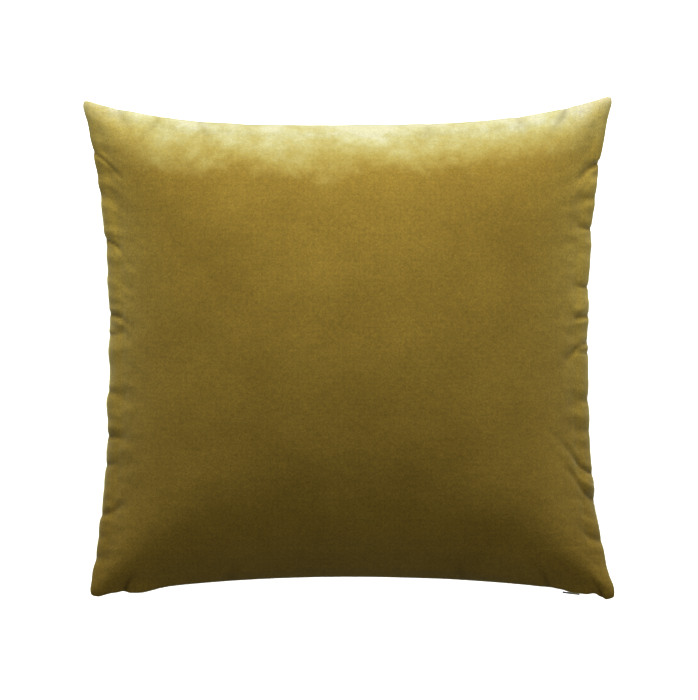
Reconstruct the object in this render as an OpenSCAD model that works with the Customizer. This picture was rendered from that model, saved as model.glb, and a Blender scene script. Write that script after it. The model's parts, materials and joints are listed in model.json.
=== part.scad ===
// Square throw pillow: a velvet cover with a concealed zip, over a stuffed ticking insert.
// It lies on its back. X runs along the zip edge, Y from the zip edge to the far edge, and Z
// up through the thickness. The origin is on the surface it lies on, under its middle.
// Every edge is a circular arc that bows inwards, so the zip slider travels on a true circle.

/* [Cover] */
// Width between the corner tips, along the zip edge
cover_w = 496; // [380:1:640]
// Depth between the corner tips, across the zip edge
cover_d = 468; // [380:1:640]
// Height of the edge seam above the surface that the pillow lies on
seam_z = 66; // [45:1:100]
// Height of the crown above the seam
crown_up = 92; // [60:1:130]
// How far the surface presses the underside flat
flat_press = 12; // [6:1:20]
// How far the middle of the zip edge bows in from the line between its corners
zip_edge_bow = 18; // [10:1:30]
// How far the middle of the far edge bows in
far_edge_bow = 25; // [10:1:35]
// How far the middle of each side edge bows in
side_edge_bow = 22; // [10:1:35]
// Thickness of the velvet with its pile
velvet_t = 1.2; // [0.8:0.1:1.6]
// Width of the seam allowance turned inside the cover
allowance = 10; // [8:0.5:13]
// How far the fabric is bunched solid at the tip of each corner
corner_bunch = 14; // [12:1:18]

/* [Zip] */
// Distance from a corner tip to the end of the zip's mouth
zip_end_margin = 21; // [18:1:40]
// Length over which the mouth closes to the sewn seam
mouth_taper = 8; // [5:1:12]
// Gap between the two lips of velvet
lip_gap = 1.6; // [1.3:0.1:2.4]
// Radius of each coil
coil_r = 0.8; // [0.6:0.05:1]
// Gap between the two coils, where the slider's web runs
coil_gap = 1.4; // [1.2:0.1:2]
// Width of each zip tape
tape_w = 11; // [8:0.5:14]
// Thickness of each zip tape
tape_t = 0.5; // [0.3:0.1:0.8]
// Clearance all round the slider
run_gap = 0.3; // [0.2:0.05:0.4]
// Length of the slider's body
slider_l = 9; // [7:0.5:12]
// Thickness of each of the slider's plates
slider_plate = 0.8; // [0.6:0.1:1.2]
// Length of each end stop along the zip
stop_l = 3; // [2:0.5:4]
// Length of the pull tab, from its pivot to its tip
pull_l = 15; // [10:0.5:25]
// Width of the pull tab
pull_w = 4.2; // [3.4:0.1:5]
// Thickness of the pull tab
pull_t = 1.4; // [1.2:0.1:2]
// Radius of the pivot pin that the pull tab swings on
pin_r = 0.45; // [0.35:0.05:0.6]
// Radial clearance of the pull tab's eye on its pin
pin_clearance = 0.08; // [0.05:0.01:0.1]

/* [Insert] */
// Thickness of the ticking with the thin wadding bonded inside it
ticking_t = 1.4; // [1.2:0.1:2]
// Gap between the insert's edge and what the cover holds at its seam
insert_gap = 1; // [0.5:0.5:4]
// Gap between stacked soft layers
layer_gap = 0.5; // [0.3:0.1:1]
// Length of the stretch of edge sewn shut after filling
closing_l = 140; // [80:5:200]

/* [Threads and label] */
// Radius of the sewing thread
thread_r = 0.3; // [0.2:0.05:0.4]
// Depth of the overlocking on the seam allowances
overlock_w = 3; // [2:0.5:4]
// Length of the care label along the seam
label_l = 32; // [20:1:40]
// How far the care label reaches in from the seam
label_w = 12; // [8:0.5:13]
// Thickness of the care label
label_t = 0.3; // [0.2:0.1:0.5]

/* [Hidden] */

half_w = cover_w / 2;
half_d = cover_d / 2;
crown_down = seam_z + flat_press;

// Edges are numbered from the zip edge, counter-clockwise from above.
ZIP_EDGE = 0;
RIGHT_EDGE = 1;
FAR_EDGE = 2;
LEFT_EDGE = 3;

// Soft shapes are lofted through rings of points that follow the outline.
side_steps = 10;          // stretches along each sewn edge, between its corner stretches
zip_steps = 10;           // stretches along the zip's mouth
levels = [0.985, 0.955, 0.9, 0.82, 0.7, 0.54, 0.36, 0.18];
rim_level = 0.997;        // where the outer skin has turned round its edge
fullness = 0.55;          // below 1 makes the sides rounder
drop_from = 0.06;         // share of the crown's height at which an inner layer has its full drop
edge_grip = 12;           // how close to an edge an inset acts
corner_run = 26;          // the bunched fabric starts this far from a corner
arc_fn = 240;
round_fn = 48;

// Places along the inward direction s, from the outline.
mouth_half = half_w - zip_end_margin;
lip_fold = 0.6;                                // depth of the fold behind the lips
lip_s = velvet_t;                              // back of the lips
chamber_s = velvet_t + lip_fold;               // the channel behind the lips
outer_plate_s = chamber_s + run_gap;
coil_s = outer_plate_s + slider_plate + run_gap + coil_r;
inner_plate_s = coil_s + coil_r + run_gap;
tape_end_s = coil_s + tape_w;
allowance_s = velvet_t + allowance;
insert_s = max(allowance_s, tape_end_s) + insert_gap;
stitch_s = 0.9;                                // the edge seam's thread
stitch_past_coil = 3;                          // room for the foot of a sewing machine
zip_stitch_s = coil_s + coil_r + stitch_past_coil;

// Heights from the seam's plane.
lip_h = lip_gap / 2;
coil_h = coil_gap / 2 + coil_r;                // middle of a coil
tape_h = coil_gap / 2 + 2 * coil_r;            // face of a tape, on the slit's side
chamber_h = tape_h + tape_t;                   // face of an allowance, on the slit's side

// Places along the zip, from its middle.
tape_end_gap = 5;                              // from the end of the mouth to the tapes' ends
stop_gap = 7;                                  // from the end of the mouth to each stop
tape_half = mouth_half - tape_end_gap;
stop_x = mouth_half - stop_gap;
slider_x = stop_x - stop_l / 2 - slider_l / 2 - run_gap;

// Half of an edge's chord, and the distance from the middle of the pillow to that chord.
function chord_half(edge) = edge % 2 == 0 ? half_w : half_d;
function chord_dist(edge) = edge % 2 == 0 ? half_d : half_w;
function bow(edge) = [zip_edge_bow, side_edge_bow, far_edge_bow, side_edge_bow][edge];
// Radius of the circle through both corners and the bowed middle of an edge.
function edge_radius(edge) = (chord_half(edge) ^ 2 + bow(edge) ^ 2) / (2 * bow(edge));
// How far an edge lies inside its chord at a distance t from its middle.
function inside_chord(edge, t) =
    bow(edge) - edge_radius(edge) + sqrt(edge_radius(edge) ^ 2 - t ^ 2);

// Place in plan of u, v, each from -1 to 1, on an outline that is moved in by s at its edges.
function plan(u, v, s) =
    let (su = s * abs(u) ^ edge_grip, sv = s * abs(v) ^ edge_grip)
    [u * (half_w - su - inside_chord(RIGHT_EDGE, v * (half_d - sv))),
     v * (half_d - sv - inside_chord(v < 0 ? ZIP_EDGE : FAR_EDGE, u * (half_w - su)))];

// Share of the crown's height at u, v: 1 in the middle and 0 on the outline.
function dome(u, v) = max(0, (1 - u ^ 2) * (1 - v ^ 2)) ^ fullness;

// Ring of u, v round the outline, with points where the zip's mouth starts and ends.
mouth_u = mouth_half / half_w;
sewn_u = (mouth_half + mouth_taper) / half_w;
corner_u = 1 - corner_run / half_w;
corner_v = 1 - corner_run / half_d;
// A corner, then evenly spaced places along the edge that follows it.
function edge_places(limit) = concat([-1], [for (i = [0:side_steps]) limit * (2 * i / side_steps - 1)]);
outline = concat(
    [[-1, -1], [-sewn_u, -1]],
    [for (i = [0:zip_steps]) [mouth_u * (2 * i / zip_steps - 1), -1]],
    [[sewn_u, -1]],
    [for (t = edge_places(corner_v)) [1, t]],
    [for (t = edge_places(corner_u)) [-t, 1]],
    [for (t = edge_places(corner_v)) [-1, -t]]
);

// 1 at the zip's mouth and 0 where the edge is sewn.
function in_mouth(p) =
    p[1] > -1 ? 0 : min(1, max(0, (half_w * abs(p[0]) - mouth_half) / -mouth_taper + 1));
// Inset of the cover's inside, which stays clear of the bunched corner.
function inner_s(p, s) = s + (abs(p[0] * p[1]) == 1 ? corner_bunch : 0);

// A ring at level r of the outline, inset by s at the edge. rise_edge and rise_mouth are its
// height at the sewn edge and at the mouth, and crown its height in the middle. drop is how
// far an inner layer lies under the cover's skin. side is 1 above the seam and -1 below it,
// where the ring stops at the height low.
function ring(r, s, rise_edge, rise_mouth, crown, side, low, drop = 0, bunched = true) = [
    for (p = outline)
        let (
            u = r * p[0], v = r * p[1],
            at = plan(u, v, bunched ? inner_s(p, s) : s),
            d = dome(u, v),
            edge = rise_edge + (rise_mouth - rise_edge) * in_mouth(p),
            h = edge * (1 - d) ^ 3 + crown * d - drop * min(1, d / drop_from)
        )
        [at[0], at[1], max(low, seam_z + side * h)]
];

function pole(crown, side, low) = [0, 0, max(low, seam_z + side * crown)];

// Closed solid through rings that all have the same number of points, with a point at each
// end. The rings of levels come first, and the later ones are cut across the other diagonal,
// so that an inner layer's facets lie along those of the skin outside it.
module loft(first, rings, last, flip = false) {
    n = len(rings[0]);
    m = len(rings);
    function at(i, j) = 1 + i * n + j % n;
    tris = concat(
        [for (j = [0:n - 1]) [0, at(0, j + 1), at(0, j)]],
        [for (i = [0:m - 2], j = [0:n - 1])
            [at(i, j), at(i, j + 1), at(i + 1, i < len(levels) ? j : j + 1)]],
        [for (i = [0:m - 2], j = [0:n - 1])
            [at(i, i < len(levels) ? j + 1 : j), at(i + 1, j + 1), at(i + 1, j)]],
        [for (j = [0:n - 1]) [m * n + 1, at(m - 1, j), at(m - 1, j + 1)]]
    );
    polyhedron(
        points = concat([first], [for (r = rings) each r], [last]),
        faces = flip ? [for (t = tris) [t[2], t[1], t[0]]] : tris
    );
}

// Sweeps a 2D profile along an edge, between two places measured from the edge's middle. In
// the profile, x is the distance in from the outline and y the height over the seam.
module along_edge(edge, from, to) {
    r = edge_radius(edge);
    a = asin(from / r);
    b = asin(to / r);
    rotate(90 * edge)
        translate([0, bow(edge) - chord_dist(edge) - r, seam_z])
            rotate(90 - b)
                rotate_extrude(angle = b - a, $fn = arc_fn)
                    translate([r, 0])
                        children();
}

// Places children at a point of the zip, with X along it, Y inwards and Z up.
module at_zip(x) {
    r = edge_radius(ZIP_EDGE);
    translate([0, zip_edge_bow - half_d - r, seam_z])
        rotate(-asin(x / r))
            translate([0, r, 0])
                children();
}

module box(from, to) {
    translate(from) cube(to - from);
}

// --- Cover ---

// One velvet panel: its outer skin, its lip at the zip, the allowance turned inside, and the
// inner skin back to the middle.
module panel(side) {
    crown = side > 0 ? crown_up : crown_down;
    low_out = side > 0 ? -1 : 0;
    low_in = side > 0 ? -1 : velvet_t;
    fold_h = chamber_h + velvet_t;
    outer = [for (i = [len(levels) - 1:-1:0])
        ring(levels[i], 0, 0, fold_h, crown, side, low_out, 0, false)];
    inner = [for (r = levels)
        ring(r, velvet_t, velvet_t, fold_h, crown, side, low_in, velvet_t)];
    edge = [
        ring(rim_level, 0, 0, fold_h, crown, side, low_out, 0, false),
        ring(1, 0, 0, lip_h, crown, side, low_out, 0, false),
        ring(1, lip_s, 0, lip_h, crown, side, low_out, 0, false),
        ring(1, chamber_s, 0, chamber_h, crown, side, low_out, 0, false),
        ring(1, allowance_s, 0, chamber_h, crown, side, low_out),
        ring(1, allowance_s, velvet_t, fold_h, crown, side, low_out),
        ring(1, velvet_t, velvet_t, fold_h, crown, side, low_out)
    ];
    loft(pole(crown, side, low_out), concat(outer, edge, inner),
        pole(crown - velvet_t, side, low_in), side < 0);
}

module front_panel() {
    color("darkgoldenrod") panel(1);
}

module back_panel() {
    color("goldenrod") panel(-1);
}

// Ends of the sewn stretches: three whole edges, and the zip edge outside its mouth.
sewn_runs = [
    [RIGHT_EDGE, -half_d, half_d], [FAR_EDGE, -half_w, half_w], [LEFT_EDGE, -half_d, half_d],
    [ZIP_EDGE, mouth_half + mouth_taper, half_w], [ZIP_EDGE, -half_w, -mouth_half - mouth_taper]
];
tip_gap = 3;               // the thread stops short of the corner tips
overlock_end = 34;         // the overlocking stops short of the bunched corners

module cover_seam_thread() {
    color("olive")
        for (run = sewn_runs)
            along_edge(run[0], max(run[1], tip_gap - chord_half(run[0])),
                min(run[2], chord_half(run[0]) - tip_gap))
                translate([stitch_s, 0]) circle(thread_r, $fn = round_fn);
}

// Thread wrapped over the raw edges of both allowances, on the three sewn edges.
module seam_overlock() {
    wrap = 2 * thread_r;
    past = 1;              // the slot runs out through the wrap's open side
    color("khaki")
        for (edge = [RIGHT_EDGE, FAR_EDGE, LEFT_EDGE])
            along_edge(edge, overlock_end - chord_half(edge), chord_half(edge) - overlock_end)
                difference() {
                    translate([allowance_s - overlock_w, -velvet_t - wrap])
                        square([overlock_w + wrap, 2 * (velvet_t + wrap)]);
                    translate([allowance_s - overlock_w - past, -velvet_t])
                        square([overlock_w + past, 2 * velvet_t]);
                }
}

// Folded ribbon sewn into the left edge, lying on the front panel's allowance.
module care_label() {
    middle = half_d / 2;
    seam_gap = 1;
    color("white")
        along_edge(LEFT_EDGE, middle - label_l / 2, middle + label_l / 2)
            translate([chamber_s + seam_gap, velvet_t]) square([label_w, label_t]);
}

// --- Zip ---

module tape(side) {
    color("darkolivegreen")
        along_edge(ZIP_EDGE, -tape_half, tape_half)
            translate([coil_s, side > 0 ? tape_h : -chamber_h]) square([tape_w, tape_t]);
}

module coil(side) {
    color("olivedrab")
        along_edge(ZIP_EDGE, -tape_half, tape_half)
            translate([coil_s, side * coil_h]) circle(coil_r, $fn = round_fn);
}

// Thread that joins a tape to its panel's allowance.
module zip_thread(side) {
    color("olive")
        along_edge(ZIP_EDGE, -tape_half, tape_half)
            translate([zip_stitch_s, side * chamber_h]) circle(thread_r, $fn = round_fn);
}

// Metal crimps round the ends of the coils. The slider meets them at the closed end.
module zip_top_stops() {
    reach = coil_r + run_gap / 2;
    color("dimgray")
        for (side = [-1, 1])
            at_zip(stop_x)
                translate([0, coil_s, side * (coil_h - run_gap / 2)])
                    cube([stop_l, 2 * reach, 2 * coil_r - run_gap], center = true);
}

module zip_bottom_stop() {
    reach = coil_r + run_gap / 2;
    color("dimgray")
        at_zip(-stop_x)
            translate([0, coil_s, 0])
                cube([stop_l, 2 * reach, 2 * (tape_h - run_gap)], center = true);
}

// Dense stitching across both ends of the mouth.
module zip_bar_tacks() {
    color("olive")
        for (end = [-1, 1])
            at_zip(end * (mouth_half + mouth_taper / 2))
                box([-mouth_taper / 2, stitch_s / 2, -velvet_t],
                    [mouth_taper / 2, chamber_s, velvet_t]);
}

crown_s = 2.4;             // the pull's pivot stands this far outside the lips
lug_w = 1.1;               // height of each of the two lugs that hold the pin
knuckle_h = 2;             // height of the pull's eye, between the lugs
lug_gap = 0.15;            // between the eye and each lug
lug_r = 1.05;              // radius of the lugs
pin_x = 2.5;               // the pivot is this far ahead of the slider's middle
bridge_near = 0.5;         // the bridge that carries the lugs starts this far outside the lips
bridge_t = 0.6;            // thickness of the bridge
eye_wall = 0.25;           // how far the pull's eye is proud of its shank
shank_l = 1.5;             // the shank's stretch that is free of the lugs

// Two plates joined by a web that runs between the coils, with a neck that passes between
// the lips to the lugs and the pin of the pull.
module zip_slider() {
    web_h = coil_gap / 2 - run_gap;
    neck_h = min(web_h, lip_h - run_gap);
    neck_l = 2.4;
    weld = 0.1;            // pieces of the casting run this far into each other
    plate_h = chamber_h - tape_t - run_gap;
    lug_h = knuckle_h / 2 + lug_gap;
    arm_l = crown_s - bridge_near;
    bridge_far = bridge_near + bridge_t;
    color("dimgray") at_zip(slider_x) {
        for (s = [outer_plate_s, inner_plate_s])
            box([-slider_l / 2, s, -plate_h], [slider_l / 2, s + slider_plate, plate_h]);
        box([-slider_l / 2, outer_plate_s, -web_h],
            [slider_l / 2, inner_plate_s + slider_plate, web_h]);
        box([pin_x - neck_l / 2, -bridge_near - weld, -neck_h],
            [pin_x + neck_l / 2, outer_plate_s + weld, neck_h]);
        // the bridge outside the lips that carries both lugs
        box([pin_x - neck_l / 2, -bridge_far, -lug_h - lug_w],
            [pin_x + neck_l / 2, -bridge_near, lug_h + lug_w]);
        for (side = [-1, 1])
            translate([pin_x, -crown_s, side * (lug_h + lug_w / 2)]) {
                cylinder(lug_w, lug_r, lug_r, center = true, $fn = round_fn);
                translate([0, arm_l / 2, 0]) cube([2 * lug_r, arm_l, lug_w], center = true);
            }
        translate([pin_x, -crown_s, 0])
            cylinder(2 * lug_h + lug_w, pin_r, pin_r, center = true, $fn = round_fn);
    }
}

// Pull tab: an eye on the pin, a short shank and a flat tab with a round tip and a hole.
module zip_pull() {
    shank_w = knuckle_h;
    eye_r = pull_t / 2 + eye_wall;
    bore_r = pin_r + pin_clearance;
    tip_r = pull_w / 2;
    hole_r = pull_w / 4;
    color("black") at_zip(slider_x) translate([pin_x, -crown_s, 0])
        difference() {
            union() {
                cylinder(knuckle_h, eye_r, eye_r, center = true, $fn = round_fn);
                translate([-pull_l / 4, 0, 0]) cube([pull_l / 2, pull_t, shank_w], center = true);
                translate([tip_r - pull_l, 0, 0]) rotate([90, 0, 0])
                    cylinder(pull_t, tip_r, tip_r, center = true, $fn = round_fn);
                box([tip_r - pull_l, -pull_t / 2, -tip_r], [-lug_r - shank_l, pull_t / 2, tip_r]);
            }
            cylinder(2 * knuckle_h, bore_r, bore_r, center = true, $fn = round_fn);
            translate([tip_r - pull_l, 0, 0]) rotate([90, 0, 0])
                cylinder(2 * pull_t, hole_r, hole_r, center = true, $fn = round_fn);
        }
}

// --- Insert ---

// One ticking panel. It meets the other in the seam's plane.
module ticking(side) {
    skin = velvet_t + layer_gap;
    crown = side > 0 ? crown_up : crown_down;
    low_out = side > 0 ? -1 : skin;
    low_in = low_out + ticking_t;
    outer = [for (i = [len(levels) - 1:-1:0])
        ring(levels[i], insert_s, 0, 0, crown, side, low_out, skin)];
    inner = [for (r = levels)
        ring(r, insert_s + ticking_t, 0, 0, crown, side, low_in, skin + ticking_t)];
    edge = [
        ring(1, insert_s, 0, 0, crown, side, low_out),
        ring(1, insert_s + 2 * ticking_t, 0, 0, crown, side, low_out)
    ];
    loft(pole(crown - skin, side, low_out), concat(outer, edge, inner),
        pole(crown - skin - ticking_t, side, low_in), side < 0);
}

module insert_front_ticking() {
    color("whitesmoke") ticking(1);
}

module insert_back_ticking() {
    color("gainsboro") ticking(-1);
}

// Loose fibre that fills the ticking.
module insert_filling() {
    skin = velvet_t + 2 * layer_gap + ticking_t;
    s = insert_s + 3 * ticking_t + layer_gap;
    upper = [for (i = [len(levels) - 1:-1:0]) ring(levels[i], s, 0, 0, crown_up, 1, skin, skin)];
    lower = [for (r = levels) ring(r, s, 0, 0, crown_down, -1, skin, skin)];
    color("snow")
        loft(pole(crown_up - skin, 1, skin), concat(upper, [ring(1, s, 0, 0, 0, 1, skin)], lower),
            pole(crown_down - skin, -1, skin));
}

insert_end = 6;            // the insert's seam stops this far short of its bunched corners
insert_tip_gap = corner_bunch + insert_s + insert_end;
closing_gap = 1;           // between the closing stitches and the seam at each side

module insert_seam(edge, from, to) {
    along_edge(edge, from, to) translate([insert_s + ticking_t, 0]) circle(thread_r, $fn = round_fn);
}

module insert_seam_thread() {
    color("ivory") {
        for (edge = [ZIP_EDGE, RIGHT_EDGE, LEFT_EDGE])
            insert_seam(edge, insert_tip_gap - chord_half(edge), chord_half(edge) - insert_tip_gap);
        insert_seam(FAR_EDGE, insert_tip_gap - half_w, -closing_l / 2);
        insert_seam(FAR_EDGE, closing_l / 2, half_w - insert_tip_gap);
    }
}

// The visible stitching that shuts the stretch the insert was filled through.
module insert_closing_thread() {
    half_l = closing_l / 2 - closing_gap;
    color("lightgray") insert_seam(FAR_EDGE, -half_l, half_l);
}

front_panel();
back_panel();
cover_seam_thread();
seam_overlock();
care_label();
tape(1);  // zip_tape_front
tape(-1);  // zip_tape_back
coil(1);  // zip_coil_front
coil(-1);  // zip_coil_back
zip_thread(1);  // zip_thread_front
zip_thread(-1);  // zip_thread_back
zip_top_stops();
zip_bottom_stop();
zip_bar_tacks();
zip_slider();
zip_pull();
insert_front_ticking();
insert_back_ticking();
insert_filling();
insert_seam_thread();
insert_closing_thread();
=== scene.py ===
import bpy
import json
import math
import numpy as np
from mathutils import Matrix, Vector


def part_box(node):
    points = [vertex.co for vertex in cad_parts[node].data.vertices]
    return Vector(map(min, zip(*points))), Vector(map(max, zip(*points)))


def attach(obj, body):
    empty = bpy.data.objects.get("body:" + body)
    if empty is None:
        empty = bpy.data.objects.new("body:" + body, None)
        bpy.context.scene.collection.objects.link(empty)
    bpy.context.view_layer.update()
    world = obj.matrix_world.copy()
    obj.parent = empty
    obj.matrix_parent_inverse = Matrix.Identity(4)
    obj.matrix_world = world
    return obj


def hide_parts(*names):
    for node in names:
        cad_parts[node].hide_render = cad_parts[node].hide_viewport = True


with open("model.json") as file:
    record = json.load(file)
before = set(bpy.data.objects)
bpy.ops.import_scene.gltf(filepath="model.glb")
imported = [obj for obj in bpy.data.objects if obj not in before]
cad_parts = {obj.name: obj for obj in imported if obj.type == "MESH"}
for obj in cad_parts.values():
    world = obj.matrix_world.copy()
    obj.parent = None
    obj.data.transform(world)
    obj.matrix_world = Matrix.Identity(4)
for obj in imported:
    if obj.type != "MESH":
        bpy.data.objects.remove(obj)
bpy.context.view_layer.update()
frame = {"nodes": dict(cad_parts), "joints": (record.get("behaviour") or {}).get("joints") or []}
print("frame loaded:", len(frame["nodes"]), "parts")

mm = 0.001
frontLow, frontHigh = (np.array(corner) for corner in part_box("front_panel"))
halfWidth = frontHigh[0]
halfDepth = frontHigh[1]
seamHeight = float(frontLow[2])
crownHeight = float(frontHigh[2])


# camera: straight down on the front panel, far off with a long lens

cameraSettings = {
    "aim": (0.0, -2.2 * mm),  # a touch below the middle of the pillow
    "distance": 3.0,          # above the seam
    "lens": 163.9,
    "sensor": 36,
    "farthest": 20,           # nothing past this is seen
}


def makeCamera():
    data = bpy.data.cameras.new("camera")
    data.lens = cameraSettings["lens"]
    data.sensor_width = cameraSettings["sensor"]
    data.clip_end = cameraSettings["farthest"]
    camera = bpy.data.objects.new("camera", data)
    aimX, aimY = cameraSettings["aim"]
    camera.location = (aimX, aimY, seamHeight + cameraSettings["distance"])
    bpy.context.scene.collection.objects.link(camera)
    bpy.context.scene.camera = camera


makeCamera()


# meshes from arrays

def meshObject(name, points, faces, material, uv=None, creaseShade=None, body="pillow"):
    mesh = bpy.data.meshes.new(name)
    mesh.from_pydata(np.asarray(points).reshape(-1, 3).tolist(), [], [list(face) for face in faces])
    if uv is not None:
        layer = mesh.uv_layers.new(name="cloth")
        corners = np.empty(len(mesh.loops), np.int32)
        mesh.loops.foreach_get("vertex_index", corners)
        layer.data.foreach_set("uv", np.asarray(uv, np.float32)[corners].ravel())
    if creaseShade is not None:
        depth = mesh.attributes.new("creaseShade", "FLOAT", "POINT")
        depth.data.foreach_set("value", creaseShade.astype(np.float32))
    mesh.update()
    mesh.shade_smooth()
    thing = bpy.data.objects.new(name, mesh)
    thing.data.materials.append(material)
    bpy.context.scene.collection.objects.link(thing)
    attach(thing, body)
    return thing


def gridFaces(ids, flip=False):
    # quads between neighbouring rows and columns of a grid of vertex numbers
    quads = np.stack([ids[:-1, :-1], ids[1:, :-1], ids[1:, 1:], ids[:-1, 1:]], -1).reshape(-1, 4)
    return quads[:, ::-1] if flip else quads


def rimOf(grid):
    # the outer rows and columns of a grid as one loop, counter-clockwise from above
    return np.concatenate([grid[:-1, 0], grid[-1, :-1], grid[:0:-1, -1], grid[0, :0:-1]])


def evenly(path, step):
    # the same line with its points a step apart along its length
    far = np.concatenate([[0], np.cumsum(np.linalg.norm(np.diff(path, axis=0), axis=1))])
    at = np.linspace(0, far[-1], max(int(far[-1] / step), 2))
    return np.stack([np.interp(at, far, path[:, axis]) for axis in range(3)], 1), at


def tubeAlong(path, radius, upward, sides=6):
    # a circle carried along the path, square to it at each point, closed by a flat end at each tip
    ahead = np.gradient(path, axis=0)
    ahead /= np.linalg.norm(ahead, axis=1, keepdims=True)
    across = np.cross(ahead, upward)
    across /= np.linalg.norm(across, axis=1, keepdims=True)
    above = np.cross(across, ahead)
    turn = np.linspace(0, 2 * np.pi, sides, endpoint=False)[None, :, None]
    radii = np.broadcast_to(np.asarray(radius, float), (len(path),))[:, None, None]
    rings = path[:, None] + radii * (np.cos(turn) * across[:, None] + np.sin(turn) * above[:, None])
    ids = np.arange(len(path) * sides).reshape(len(path), sides)
    wrapped = np.concatenate([ids, ids[:, :1]], 1)
    faces = gridFaces(wrapped).tolist()
    return rings.reshape(-1, 3), faces + [ids[0].tolist(), ids[-1, ::-1].tolist()]


def woundPath(core, outwardAt, width, height, pitch, perTurn):
    # an oval helix round a core line: width outwards, height along Z, one turn each pitch
    core, far = evenly(core, pitch / perTurn)
    turn = 2 * np.pi * far / pitch
    radial = np.cos(turn)[:, None] * outwardAt(core) * width
    radial[:, 2] += np.sin(turn) * height
    return core + radial, radial


# the pillow's form

form = {
    "zipBow": 18.5 * mm,         # how far the middle of each edge bows in
    "farBow": 25 * mm,
    "leftBow": 22 * mm,
    "rightBow": 22.8 * mm,
    "zipPower": 2.0,             # 2 is an arc, more is straight in the middle with quick corners
    "farPower": 3.3,
    "sidePower": 2.4,
    "cutWidth": 500 * mm,        # the cloth, flat, between its seams
    "cutDepth": 500 * mm,
    "fineCells": 260,            # cells along each side of the finished panel
    "fineCrowding": 1.25,        # more than 1 puts more of them near the seam
    "crownGap": 1.5 * mm,        # how far the crown stays under the frame's top
    "floorPress": 9 * mm,
    "floorGap": 0.6 * mm,
    "roll": 1.0 * mm,            # how far the cloth stands proud just inside its seam
    "rollPlace": 5 * mm,
    "rollWidth": 4 * mm,
    "edgeRise": 2.0 * mm,        # how far the cloth climbs straight up from its seam
    "mouthRise": 3.2 * mm,       # and beside the zip, where it clears the slider
    "riseWithin": 1.2 * mm,
    "riseFade": 18 * mm,
    "overhang": 1.6 * mm,        # how far it then leans out over the seam
    "seamInset": 0.5 * mm,       # the seam lies this far inside the outline, under the overhang
    "velvetThick": 1.2 * mm,
    "seamLip": 0.25 * mm,        # half the groove's width at the sewn seam
    "lipFade": 6 * mm,
    "allowance": 10 * mm,        # the cloth turned in past the seam
    "underSkin": 1.2 * mm,       # gap from the allowance to the inner skin's rim
}

# the swelling of the two flat cuts
sewing = {
    "cells": 80,
    "crowding": 0.9,             # less than 1 puts more cells near the seam
    "frames": 24,
    "crown": 72 * mm,            # where the front's middle starts
    "backShare": 0.85,           # and the back's, as a share of that
    "quality": 5,
    "mass": 0.05,
    "stretch": 15,
    "shear": 5,
    "bend": 0.3,
    "pressure": 60,
}

# each corner: signs of x and y, how far its tip is moved in x and y and how round it is, in mm,
# and how sharply the side flares out to it
corners = [(-1, 1, -5.2, 1.2, 11, 6), (1, 1, 2.2, 5.4, 11, 10),
           (-1, -1, 1.8, -2.2, 13, 6), (1, -1, 7.6, -6.2, 20, 14)]

# the zip's own places, read from the frame
zipCentre = Vector(next(j for j in frame["joints"] if j["name"] == "zip_run")["pos_m"])
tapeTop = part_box("zip_tape_front")[1].z
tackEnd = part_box("zip_bar_tacks")[1].x
zipMouth = {
    "half": tackEnd - 8 * mm,                        # half the mouth's length
    "taper": 8 * mm,                                 # over which it closes to the sewn seam
    "lip": 0.8 * mm,                                 # half the gap between the lips
    "chamber": tapeTop - seamHeight + 0.05 * mm,     # the allowances lie outside the tapes
    "tipFrom": 4 * mm,                               # the corner tips' shifts start this far inside it
    "tipOver": 16 * mm,                              # and grow over this length
}


def inMouth(x, y):
    # 1 along the zip's mouth, 0 where the edge is sewn, with a straight run between
    near = np.clip((zipMouth["half"] + zipMouth["taper"] - np.abs(x)) / zipMouth["taper"], 0, 1)
    return near * (y < -halfDepth * 0.8)


def smoothStep(t):
    # 3 t squared less 2 t cubed, with t held between 0 and 1
    t = np.clip(t, 0, 1)
    return t ** 2 * (3 - 2 * t)


def bell(distance, width):
    return np.exp(-(distance / width) ** 2)


def lipAt(mouth):
    # half the gap between the panels, wider along the zip's mouth
    return form["seamLip"] + (zipMouth["lip"] - form["seamLip"]) * mouth


def outlinePlace(u, v):
    # u, v from -1 to 1: straight rectangle pulled in by each edge's bow, strongest mid-edge
    side = np.where(u < 0, form["leftBow"], form["rightBow"]) * (1 - np.abs(v) ** form["sidePower"])
    ends = np.where(v < 0,
                    form["zipBow"] * (1 - np.abs(u) ** form["zipPower"]),
                    form["farBow"] * (1 - np.abs(u) ** form["farPower"]))
    x = u * (halfWidth - form["seamInset"] - side)
    y = v * (halfDepth - np.where(v > 0, form["seamInset"], 0) - ends)
    # a tip's shift fades away from its corner, and at the zip it is gone before the mouth starts
    for signX, signY, moveX, moveY, _, flare in corners:
        nearX = ((1 + signX * u) / 2) ** 3
        nearY = ((1 + signY * v) / 2) ** 3
        past = signX * u * halfWidth - zipMouth["half"] + zipMouth["tipFrom"]
        pastMouth = smoothStep(past / zipMouth["tipOver"])
        x = x + moveX * mm * nearX * nearY ** (flare / 3)
        y = y + moveY * mm * (pastMouth if signY < 0 else nearX) * nearY
    return x, y


def roundCorners(x, y, u, v):
    # the square at each corner is squeezed onto a quarter disc of the corner's radius
    for signX, signY, _, _, radius, _ in corners:
        reach = radius * mm
        a = np.clip(1 - (1 - signX * u) * halfWidth / reach, 0, 1)
        b = np.clip(1 - (1 - signY * v) * halfDepth / reach, 0, 1)
        x = x - signX * reach * a * (1 - np.sqrt(1 - b ** 2 / 2))
        y = y - signY * reach * b * (1 - np.sqrt(1 - a ** 2 / 2))
    return x, y


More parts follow.
